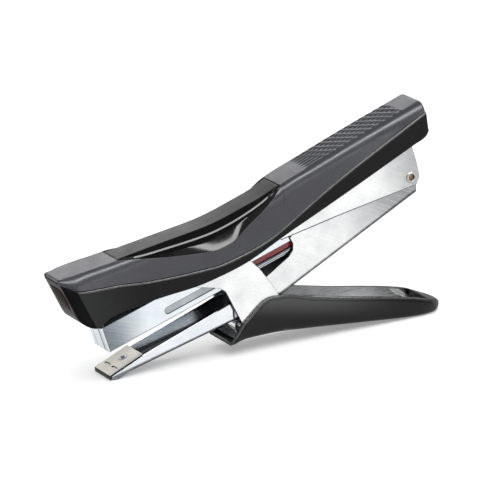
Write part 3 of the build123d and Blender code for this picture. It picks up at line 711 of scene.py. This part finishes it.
def make_inlay():
    """Black inlay: a glossy scoop and a top panel with a dark wall between them."""
    front, rear = POCKET_FRONT + INLAY_GAP, POCKET_REAR - INLAY_GAP
    stations = [front, 4.4, 4.8] + spread(5.6, 84.4, 80) + [85.2, 85.6, rear]
    rows = []
    for x in stations:
        half = inlay_profile(x)
        ends = min(x - front, rear - x)
        drop = 0.18 * max(0.0, 1 - ends / 0.5) ** 2
        rows.append([pt(x, y, z - drop) for y, z in mirrored(half)])
    bm = bmesh.new()
    add_sheet(bm, rows, [[p - Vector((0, 0, 1.0 * MM)) for p in row] for row in rows])

    def is_wall(face):
        out = abs(face.calc_center_median().y) / MM
        return abs(face.normal.y) > 0.8 and 6.1 < out < 7.4 or abs(face.normal.y) > 0.12 and 5.7 < out < 6.4

    def is_top(face):
        return abs(face.calc_center_median().y) < 5.9 * MM and face.normal.z > 0.5

    as_piece("inlay", bm, "upper_lever", INLAY_BLACK, sharp=38.0,
             replaces=("inlay_panel",), others=((DEEP_BLACK, is_wall), (INLAY_TOP, is_top)))


# ======== upper lever: casing and head ========
CASING_UNDER = [(160.9, 89.8), (161.0, 87.9), (158.6, 85.2), (151.7, 82.2), (127.5, 71.1), (105.0, 61.0),
                (92.4, 55.5), (84.0, 51.7), (67.7, 44.1), (54.8, 40.1), (40.5, 37.0), (21.3, 35.0),
                (0.0, 31.6), (-5.0, 29.2)]
CASING_HEAD = [(-7.4, 27.5), (-9.6, 26.95), (-11.9, 27.3), (-13.9, 28.5), (-15.4, 29.9), (-16.8, 32.0),
               (-18.0, 34.4)]
FRONT_FALL = Vector((6.8, 0.0, -14.3)).normalized()
FRONT_OUT = Vector((-14.3, 0.0, -6.8)).normalized()
CHAMFER_START, CHAMFER_BACK = 7.6, 5.2


def spline_line(points, steps):
    """Smooth open line through side-view points."""
    line = []
    for i in range(len(points) - 1):
        p0, p1 = Vector(points[max(i - 1, 0)]), Vector(points[i])
        p2, p3 = Vector(points[i + 1]), Vector(points[min(i + 2, len(points) - 1)])
        for k in range(steps):
            t = k / steps
            bow = (2 * p0 - 5 * p1 + 4 * p2 - p3) * t * t
            twist = (3 * p1 - p0 - 3 * p2 + p3) * t ** 3
            line.append(tuple(0.5 * (2 * p1 + (p2 - p0) * t + bow + twist)))
    return line + [tuple(points[-1])]


def make_casing():
    """Black casing: open channel with a closed, sloping, chamfered head."""
    top = [(x, seam_at(x)) for x in spread(HEAD_FRONT, COVER_REAR, 90)]
    under = spline_line(CASING_UNDER, 4)
    head = spline_line([CASING_UNDER[-1]] + CASING_HEAD, 4)[1:]
    bm = prism(top + under + head, CASE_OUT)

    def on_seam(edge):
        level = abs(edge.verts[0].co.y - edge.verts[1].co.y) < 1e-6
        return level and all(abs(v.co.z / MM - seam_at(v.co.x / MM - TIP_X)) < 0.01 for v in edge.verts)

    round_edges(bm, 1.0, 5, on_seam)
    origin = pt(HEAD_FRONT, 0, SEAM_Z[0])
    for way in (1, -1):
        start = origin + Vector((0, way * CHAMFER_START * MM, 0))
        lean = (Vector((0, way * 4.9, 0)) - FRONT_OUT * CHAMFER_BACK).normalized()
        normal = lean.cross(FRONT_FALL).normalized()
        if normal.y * way < 0:
            normal = -normal
        wedge = bmesh.new()
        face = [start + (lean * a + FRONT_FALL * b) * MM for a, b in ((-9, -9), (16, -9), (16, 45), (-9, 45))]
        add_tube_grid(wedge, [face, [p + normal * 14 * MM for p in face]])
        bmesh.ops.recalc_face_normals(wedge, faces=wedge.faces)
        bm = carve(bm, wedge)
    bmesh.ops.dissolve_limit(bm, angle_limit=math.radians(0.2), verts=bm.verts, edges=bm.edges)
    cavity = rounded([(-21.6, 62), (-18.6, 47), (-13.9, 36.0), (-11.6, 31.0), (-10.2, 28.0), (-10.2, 18.0)],
                     1.5)
    cavity += [(170, 18), (159.8, 86.0), (158.6, 112)]
    bm = carve(bm, prism(cavity, CASE_IN))
    bmesh.ops.dissolve_limit(bm, angle_limit=math.radians(0.2), verts=bm.verts, edges=bm.edges)
    round_edges(bm, 0.35, 3, lambda e: max(abs(v.co.y) for v in e.verts) > 7.0 * MM, 24.0)

    # Faces of the rounded top lip, which get a painted highlight.
    def is_lip(face):
        centre = face.calc_center_median()
        low = seam_at(centre.x / MM - TIP_X) - centre.z / MM
        return -0.1 < low < 1.3 and abs(centre.y) > 10.6 * MM and 0.1 < face.normal.z < 0.99

    def is_front(face):
        return face.normal.x < -0.35 and face.normal.z > -0.75

    as_piece("casing", bm, "upper_lever", CASING_BLACK, replaces=("lower_casing",),
             others=((DEEP_BLACK, is_front), (LIP_GLOSS_AND_HIGHLIGHT, is_lip)))


def make_head_insert():
    """Glossy panel let into the head's front."""
    half = 6.1
    rows = []
    for t in spread(0, 1, 15):
        x, z = -23.35 + 5.0 * t, 45.2 - 10.3 * t
        bulge = 0.25 * math.sin(math.pi * t)
        rows.append([pt(x, y, z) + FRONT_OUT * (bulge - 0.35 * (abs(y) / half) ** 4) * MM
                     for y in spread(-half, half, 15)])
    bm = bmesh.new()
    add_sheet(bm, rows, [[p - FRONT_OUT * 0.7 * MM for p in row] for row in rows])
    as_piece("head_panel", bm, "upper_lever", INSERT_BROWN, replaces=("head_insert",))


# ======== lower handle ========
handle_floor_at = smooth_line([57.6, 60.0, 66.6, 78.7, 100.0, 125.3, 161.0, 165.7, 169.6, 171.2],
                              [5.4, 5.2, 6.3, 6.6, 5.1, 2.7, 0.0, 0.0, 1.0, 3.0])
handle_top_at = smooth_line([57.6, 60.6, 63.8, 67.8, 72.6, 75.5, 78.8, 83.9, 101.4, 118.9, 136.5, 156.1,
                             165.5, 169.3, 171.2],
                            [6.2, 9.8, 14.2, 17.6, 21.6, 23.4, 24.3, 24.3, 20.2, 16.5, 13.3, 9.2, 6.3,
                             4.8, 3.4])
SHELL_OUT, SHELL_IN, HOLLOW_END = 10.4, 9.2, 161.3
TAPER_START, TAPER_LENGTH = 158.0, 13.2


def handle_slope(x):
    """How steeply the handle's top runs at a place."""
    return (handle_top_at(x + 0.3) - handle_top_at(x - 0.3)) / 0.6


def handle_section(x):
    """Closed section of the handle's plastic shell: outside down and across, inside back again."""
    floor, top = handle_floor_at(x), handle_top_at(x)
    past = max(0.0, min((x - TAPER_START) / TAPER_LENGTH, 1.0))
    wide = SHELL_OUT * math.sqrt(max(0.0, 1 - past * past)) + 0.02
    tall = max(top - floor, 0.05)
    nose = max(0.0, min((x - HOLLOW_END) / 5.0, 1.0))
    bend = min(3.2, tall * 0.45, wide * 0.45)
    lean = min(2.6, math.sqrt(1 + handle_slope(x) * handle_slope(x)))
    small = min(0.35 + 2.4 * nose, tall * 0.45, wide * 0.4)
    lip = max(min(1.15 * lean, tall * 0.3), small + 0.1)
    groove = min(0.45 * lean, tall * 0.12)
    deep = 0.3 * (1 - nose)
    outer = bezier((wide - small, top), (wide, top), (wide, top - small), 5)
    outer += [(wide, top - lip + 0.05), (wide - deep, top - lip - groove * 0.3),
              (wide - deep, top - lip - groove * 0.7)]
    side_top = top - lip - groove
    low = floor + bend
    for t in spread(0, 1, 7):
        outer.append((wide - 0.06 - 0.5 * (1 - nose) * t * t, side_top + (low - side_top) * t))
    foot = outer[-1][0]
    outer += bezier((foot, low), (foot - 0.2, floor), (foot - bend, floor), 7)[1:]
    outer += [((foot - bend) * (1 - t), floor) for t in spread(0.2, 1, 5)]
    if x < HOLLOW_END:
        inner_wide = min(SHELL_IN, wide - 0.4)
        inner_floor = min(floor + 1.2, top - 0.2)
        inner = [(0.0, inner_floor), (inner_wide * 0.5, inner_floor), (inner_wide - 0.1, inner_floor),
                 (inner_wide, inner_floor + 0.1), (inner_wide, inner_floor + (top - inner_floor) * 0.5),
                 (inner_wide, top - 0.35), (inner_wide + 0.3, top)]
    else:
        inner = [((wide - small) * t, top + 0.25 * (1 - t * t))
                 for t in (0.0, 0.3, 0.55, 0.7, 0.82, 0.9, 0.96)]
    return mirrored(outer) + [(-y, z) for y, z in reversed(inner[1:])] + inner


def make_handle_shell():
    """Black plastic shell of the lower handle."""
    stations = spread(57.7, 80.0, 34) + spread(81.5, 156.0, 48) + spread(157.0, 161.2, 5) + [161.35]
    stations += [TAPER_START + TAPER_LENGTH * math.sin(math.radians(a))
                 for a in (17, 23, 30, 37, 44, 51, 58, 65, 72, 78, 84, 89)]
    rows = [[pt(x, y, z) for y, z in handle_section(x)] for x in stations]
    bm = bmesh.new()
    add_tube_grid(bm, rows)

    # Faces of the rounded rim, which get a painted highlight.
    def is_rim(face):
        centre = face.calc_center_median()
        x = centre.x / MM - TIP_X
        low = handle_top_at(x) - centre.z / MM
        steep = abs(handle_slope(x))
        return x < HOLLOW_END and low < 0.5 + 0.5 * steep and abs(centre.y) > 9.3 * MM

    as_piece("handle_grip", bm, "lower_handle", SHELL_BLACK, sharp=40.0,
             replaces=("handle_shell",), others=((LIP_GLOSS_AND_HIGHLIGHT, is_rim),))


def make_liner_tail():
    """Two flaps folded in from the liner's walls at the handle's rear end."""
    bm = bmesh.new()
    for way in (1, -1):
        flap = [(151.5, 8.3, 9.6), (156.0, 8.3, 8.6), (160.6, 8.3, 5.0), (160.9, 3.2, 4.2), (157.6, 4.4, 5.6)]
        add_tube_grid(bm, [[pt(x, way * y, z - drop) for x, y, z in flap] for drop in (0.0, 0.7)])
    round_edges(bm, 0.12, 2)
    as_piece("liner_tail", bm, "lower_handle", LINER_STEEL)


# ======== springs, staples, rivets ========
def add_wire(bm, points, radius, sides=8):
    """Round wire through a line of places."""
    rows = []
    side = Vector((0, 1, 0))
    for i, p in enumerate(points):
        ahead = (points[min(i + 1, len(points) - 1)] - points[max(i - 1, 0)]).normalized()
        side = (side - ahead * side.dot(ahead)).normalized()
        up = ahead.cross(side)
        rows.append([p + (side * math.cos(a) + up * math.sin(a)) * radius * MM
                     for a in angles(sides)])
    add_tube_grid(bm, rows)


def make_follower_spring():
    """Compression spring round the guide rod."""
    turns, radius, wire, steps = 46, 1.1, 0.2, 14
    points = []
    for i in range(turns * steps + 1):
        u = SPRING_START + 0.3 + i / (turns * steps) * (SPRING_LENGTH - 0.6)
        angle = 2 * math.pi * i / steps
        points.append(mag_pt(u, radius * math.cos(angle), ROD_V + radius * math.sin(angle)))
    bm = bmesh.new()
    add_wire(bm, points, wire, 6)
    piece = as_piece("feed_spring", bm, "magazine", SPRING, sharp=60.0,
                     replaces=("follower_spring",))
    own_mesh(piece)


def make_staples():
    """Strip of separate glued staples, each a bent flat wire."""
    pitch, thick = 0.52, 0.47
    count = int((STRIP_REAR - STRIP_FRONT) / pitch)
    low, under, bend = MAG_BOTTOM + 0.72, CROWN_TOP - WIRE, 0.35
    inner, outer = CROWN_HALF - WIRE, CROWN_HALF
    corner = bezier((outer, CROWN_TOP - bend), (outer, CROWN_TOP), (outer - bend, CROWN_TOP), 3)
    outside = [(outer, low)] + corner
    ring = outside + [(-y, v) for y, v in reversed(outside)]
    ring += [(-inner, low), (-inner, under), (inner, under), (inner, low)]
    bm = bmesh.new()
    for i in range(count):
        u = STRIP_FRONT + i * pitch
        front = [mag_pt(u, y, v) for y, v in ring]
        rear = [mag_pt(u + thick, y, v) for y, v in ring]
        add_tube_grid(bm, [front, rear])
    as_piece("staples", bm, "magazine", WIRE_STEEL, replaces=("staple_strip",))


def make_magazine_nose():
    """Front plate of the magazine: two grooves down each side, a sunk middle, rolled at the top."""
    plan = [(7.1, 0.56), (7.06, 0.38), (6.95, 0.16), (6.75, 0.03), (6.4, 0.0), (5.95, 0.0), (5.8, 0.5),
            (5.2, 0.5), (5.05, 0.0), (4.25, 0.0), (4.1, 0.5), (3.3, 0.5), (3.15, 0.08), (1.6, 0.06),
            (0.0, 0.04)]
    front = mirrored(plan)
    levels = [(-5.3, 0.3), (-5.15, 0.08), (-4.9, 0.0)] + [(v, 0.0) for v in spread(-4.0, 5.6, 9)]
    levels += [(6.3, 0.04), (6.8, 0.2), (7.1, 0.5), (7.3, 0.95)]
    bm = bmesh.new()
    outer, inner = [], []
    for v, back in levels:
        outer.append([mag_pt(NOSE_FACE + d + back, y, v) for y, d in front])
        inner.append([mag_pt(NOSE_FACE + max(d, 0.1) + back + 0.45, y * 0.93, v - 0.02) for y, d in front])
    add_sheet(bm, outer, inner)
    forward = (mag_pt(-1, 0, 0) - mag_pt(0, 0, 0)).normalized()

    # Painted shade: the grooves and the sunk middle get dark chrome.
    def is_fluted(face):
        centre = face.calc_center_median()
        sunk = (mag_pt(NOSE_FACE, 0, 0) - centre).dot(forward) / MM > 0.28
        return abs(centre.y) < 6 * MM and (sunk or 0.3 < face.normal.dot(forward) < 0.97)

    as_piece("magazine_nose", bm, "magazine", CHROME, sharp=25.0,
             replaces=("magazine_front_plate",), others=((PAINTED_SHADE_CHROME, is_fluted),))


def make_side_rails():
    """Grooved rails that carry the magazine on from its walls to the hinge, one each side."""
    steps = [(-4.75, 6.5), (-4.7, 6.75), (-4.4, 6.8), (-4.3, 6.55), (-3.95, 6.55), (-3.85, 6.8),
             (-3.55, 6.8), (-3.45, 6.55), (-3.2, 6.55), (-3.1, 6.8), (-2.97, 6.75), (-2.95, 6.5)]
    bm = bmesh.new()
    for way in (1, -1):
        ring = [(way * y, v) for v, y in steps] + [(way * 6.4, -2.95), (way * 6.4, -4.75)]
        add_tube_grid(bm, [[mag_pt(u, y, v) for y, v in ring] for u in spread(-90.9, -12.2, 12)])
    # Painted shade: dark chrome in the rails' grooves.
    as_piece("magazine_rails", bm, "magazine", CHROME, sharp=25.0,
             others=((PAINTED_SHADE_CHROME, lambda face: abs(face.calc_center_median().y) < 6.7 * MM),))


def lathe(bm, origin, axis, profile, steps=40):
    """Turned part: profile of (radius, height) points about an axis."""
    axis = Vector(axis).normalized()
    side = axis.orthogonal().normalized()
    other = axis.cross(side)
    rows = []
    for radius, height in profile:
        rows.append([origin + axis * height * MM + (side * math.cos(a) + other * math.sin(a)) * radius * MM
                     for a in angles(steps)])
    add_tube_grid(bm, rows)


def make_anvil_rivet():
    """Dished rivet head on the anvil plate."""
    up = Vector((-math.sin(ANVIL_RISE), 0, math.cos(ANVIL_RISE)))
    bm = bmesh.new()
    lathe(bm, pt(8.4, 0, 6.76), up, [(1.1, -3.5), (1.1, -0.4), (1.86, -0.38), (1.9, -0.1), (1.84, 0.06),
                                     (1.6, 0.16), (1.2, 0.18), (1.0, 0.1), (0.86, -0.1), (0.8, -0.42),
                                     (0.3, -0.46)])
    as_piece("anvil_rivet_head", bm, "frame", SPRING, replaces=("anvil_rivet",))


def make_hinge_rivet():
    """Tubular rivet with rolled heads and a dark bore."""
    bm = bmesh.new()
    side = [(1.35, 0.0), (1.35, 9.2), (1.5, 9.55), (1.8, 9.74), (2.2, 9.72), (2.6, 9.55), (2.74, 9.36),
            (2.3, 9.32), (2.3, 0.0)]
    for way in (1, -1):
        rows = []
        for radius, height in side + [side[0]]:
            rows.append([pt(HINGE[0] + radius * math.cos(a), way * height, HINGE[1] + radius * math.sin(a))
                         for a in angles(48)])
        add_tube_grid(bm, rows, caps=False)
    bmesh.ops.remove_doubles(bm, verts=bm.verts, dist=1e-7)
    middle = [f for f in bm.faces if all(abs(v.co.y) < 1e-7 for v in f.verts)]
    bmesh.ops.delete(bm, geom=middle, context="FACES")
    as_piece("hinge_rivet_tube", bm, "frame", NICKEL, replaces=("hinge_rivet",))


def make_rivet_plug():
    """Coppery core seen down the hinge rivet's bore."""
    bm = bmesh.new()
    lathe(bm, pt(HINGE[0], 0, HINGE[1]), (0, 1, 0), [(0.4, -8.9), (1.0, -8.8), (1.33, -8.5), (1.34, 0.0),
                                                     (1.33, 8.5), (1.0, 8.8), (0.4, 8.9)], 32)
    as_piece("hinge_rivet_core", bm, "frame", COPPERY)


# ======== carried-over CAD parts and their softened stand-ins ========
def low_magazine_edge(edge):
    """Long lower bends of the magazine."""
    for v in edge.verts:
        x = v.co.x / MM - TIP_X - HINGE[0]
        z = v.co.z / MM - HINGE[1]
        height = -x * math.sin(MAG_TILT) + z * math.cos(MAG_TILT)
        if abs(height - MAG_BOTTOM) > 0.05 or abs(abs(v.co.y) - MAG_OUT * MM) > 1e-5:
            return False
    return edge.calc_length() > 5 * MM


def is_magazine_line(face):
    """Rims of the magazine's walls and grooves, and the middle of its lower bends, all given painted shade.
    """
    small = face.calc_area() < STRIP_AREA
    return small and 0.15 < abs(face.normal.y) < 0.95 or face.normal.z > 0.5 and abs(face.normal.y) < 0.95


def is_groove_floor(face):
    """Sunk flat of the groove pressed into the magazine's sides, given painted shade."""
    depth = abs(face.calc_center_median().y)
    return abs(face.normal.y) > 0.98 and (MAG_OUT - 0.5) * MM < depth < (MAG_OUT - 0.1) * MM \
        and face.normal.y * face.calc_center_median().y > 0


def is_anvil_front(face):
    """Front lip and rims of the anvil plate."""
    return face.normal.x < -0.8 or abs(face.normal.y) > 0.5


def is_arm_line(face):
    """Upper part of the arm's lower bends, given a painted dark line of shade."""
    return 0.8 < abs(face.normal.y) < 0.985 and face.normal.z < -0.1 and face.calc_area() < 1.5 * STRIP_AREA


def is_arm_crease(face):
    """Rest of the arm's lower bends, and the rims of its sides, given painted shade."""
    out, up = abs(face.normal.y), face.normal.z
    return 0.15 < out < 0.5 and up < -0.2 and face.calc_area() < 1.5 * STRIP_AREA \
        or up > 0.5 and 0.2 < out < 0.95


def make_sheet_metal():
    """Softened stand-ins for the pressed and moulded CAD nodes."""
    # Dark cut edges of the plates, and painted shade on the facets of their rounded lower bends.
    cut = ((CUT_EDGE_AND_BEND_SHADE, is_cut_edge_or_bend),)
    softened("magazine_channel", "magazine_body", "magazine", MAGAZINE_CHROME, 0.2,
             low_magazine_edge, 0.9, ((PAINTED_SHADE_CHROME, is_magazine_line), (GROOVE_SHADE_CHROME, is_groove_floor)))
    softened("anvil_plate", "anvil", "frame", NICKEL, 0.10,
             others=((CUT_EDGE_AND_BEND_SHADE, is_anvil_front),))
    softened("anvil_arm", "arm", "frame", ARM_CHROME, 0.16,
             others=((PAINTED_SHADE_CHROME, is_arm_crease), (CUT_EDGE_AND_BEND_SHADE, is_arm_line)))
    softened("frame_channel", "frame_sides", "frame", BRUSHED, 0.16, is_low_rim, 0.75, cut)
    softened("rear_bracket", "rear_cheeks", "upper_lever", CHEEK_STEEL, 0.16, is_low_rim,
             0.7, cut)
    softened("handle_channel", "handle_liner", "lower_handle", LINER_STEEL, 0.14,
             others=cut)
    softened("follower_grip", "follower_tab", "follower", RED, 0.25)
    softened("staple_pusher", "pusher", "follower", CASING_BLACK, 0.2)


CAD_FINISHES = {
    "frame_rivets": BRUSHED, "hinge_bush": CHROME, "jaw_spring": SPRING, "jaw_spring_rivet": CHROME,
    "staple_rail": MAGAZINE_CHROME, "guide_rod": CHROME, "guide_rod_anchor": CASING_BLACK,
    "lever_core": BRUSHED, "driver_blade": SPRING, "lever_pivots": CHROME, "lever_spring": SPRING,
    "cover_screws": CHROME, "pressure_roller": CHROME, "roller_pin": CHROME, "handle_rivets": CHROME,
}


def finish_cad_nodes():
    """Materials for the CAD nodes that are shown as they are."""
    for node, material in CAD_FINISHES.items():
        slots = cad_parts[node].data.materials
        slots.clear()
        slots.append(material)


# ======== studio ========
def make_floor():
    """Plain pale studio floor."""
    material, tree, shader = new_material("studio_floor")
    tone = grain(tree, 3.0, 2.0)
    colour = blend_colours(tree, remap(tree, tone, 0, 1), (0.76, 0.76, 0.76), (0.79, 0.79, 0.79))
    tree.links.new(colour, shader.inputs["Base Color"])
    set_inputs(shader, {"Emission Color": (1.0, 1.0, 1.0, 1.0), "Emission Strength": 0.28,
                        "Roughness": 0.9, "Specular IOR Level": 0.1})
    bm = bmesh.new()
    bmesh.ops.create_grid(bm, x_segments=4, y_segments=4, size=6.0)
    mesh = bpy.data.meshes.new("floor")
    bm.to_mesh(mesh)
    bm.free()
    mesh.materials.append(material)
    floor = add_object("floor", mesh)
    floor.location.z = cad_low.z - 0.0001


def soft_box(name, direction, distance, size, power, lights_matt=True, lights_gloss=True):
    """Rectangular light that faces the object from a direction."""
    light = bpy.data.lights.new(name, "AREA")
    light.shape = "RECTANGLE"
    light.size, light.size_y = size
    light.energy = power
    lamp = add_object(name, light)
    away = Vector(direction).normalized()
    lamp.location = Vector((0, 0, 0.05)) + away * distance
    lamp.rotation_mode = "QUATERNION"
    lamp.rotation_quaternion = away.to_track_quat("Z", "Y")
    lamp.visible_camera = False
    lamp.visible_diffuse = lights_matt
    lamp.visible_glossy = lights_gloss


def make_world():
    """Pale room, a little brighter at the horizon than overhead."""
    world = bpy.data.worlds.new("studio")
    bpy.context.scene.world = world
    world.use_nodes = True
    tree = world.node_tree
    place = tree.nodes.new("ShaderNodeTexCoord")
    split = tree.nodes.new("ShaderNodeSeparateXYZ")
    ramp = tree.nodes.new("ShaderNodeValToRGB")
    for element, (at, level) in zip(ramp.color_ramp.elements, ((0.0, 0.5), (0.5, 0.4))):
        element.position = at
        element.color = (level, level, level * 1.01, 1.0)
    tree.links.new(place.outputs["Generated"], split.inputs["Vector"])
    tree.links.new(split.outputs["Z"], ramp.inputs["Fac"])
    tree.links.new(ramp.outputs["Color"], tree.nodes["Background"].inputs["Color"])
    tree.nodes["Background"].inputs["Strength"].default_value = 1.0


def make_lights():
    """Soft overhead light, and strips that only give the gloss its highlights."""
    soft_box("ceiling", (0.0, -0.25, 1.0), 1.5, (2.6, 2.2), 42.0, lights_gloss=False)
    soft_box("key_strip", (0.05, -0.52, 0.85), 1.0, (1.3, 0.28), 20.0, lights_matt=False)
    soft_box("side_strip", (0.46, -0.88, 0.16), 1.4, (1.2, 0.18), 4.0, lights_matt=False)
    soft_box("rear_panel", (0.24, 0.83, 0.50), 1.4, (1.1, 0.5), 5.0, lights_matt=False)


AZIMUTH, ELEVATION, ROLL = math.radians(-29.0), math.radians(18.0), math.radians(1.5)
TARGET, DISTANCE = pt(69.088, 0, 50.237), 1.7778


def make_camera():
    """Long lens, turned to the side and slightly rolled."""
    back = Vector((math.sin(AZIMUTH) * math.cos(ELEVATION), -math.cos(AZIMUTH) * math.cos(ELEVATION),
                   math.sin(ELEVATION)))
    level = Vector((math.cos(AZIMUTH), math.sin(AZIMUTH), 0))
    upward = back.cross(level)
    right = level * math.cos(ROLL) - upward * math.sin(ROLL)
    up = level * math.sin(ROLL) + upward * math.cos(ROLL)
    data = bpy.data.cameras.new("camera")
    data.lens = 300.0
    data.sensor_width = 36.0
    data.clip_start, data.clip_end = 0.1, 30.0
    camera = add_object("camera", data)
    turn = Matrix((right, up, back)).transposed().to_4x4()
    camera.matrix_world = Matrix.Translation(TARGET + back * DISTANCE) @ turn
    bpy.context.scene.camera = camera


for step in (make_camera, make_cover, make_inlay, make_casing, make_head_insert, make_handle_shell,
             make_liner_tail, make_follower_spring, make_staples, make_magazine_nose, make_side_rails,
             make_anvil_rivet, make_hinge_rivet, make_rivet_plug, make_sheet_metal, finish_cad_nodes,
             make_floor, make_world, make_lights):
    step()
bpy.context.scene.view_settings.view_transform = "Standard"
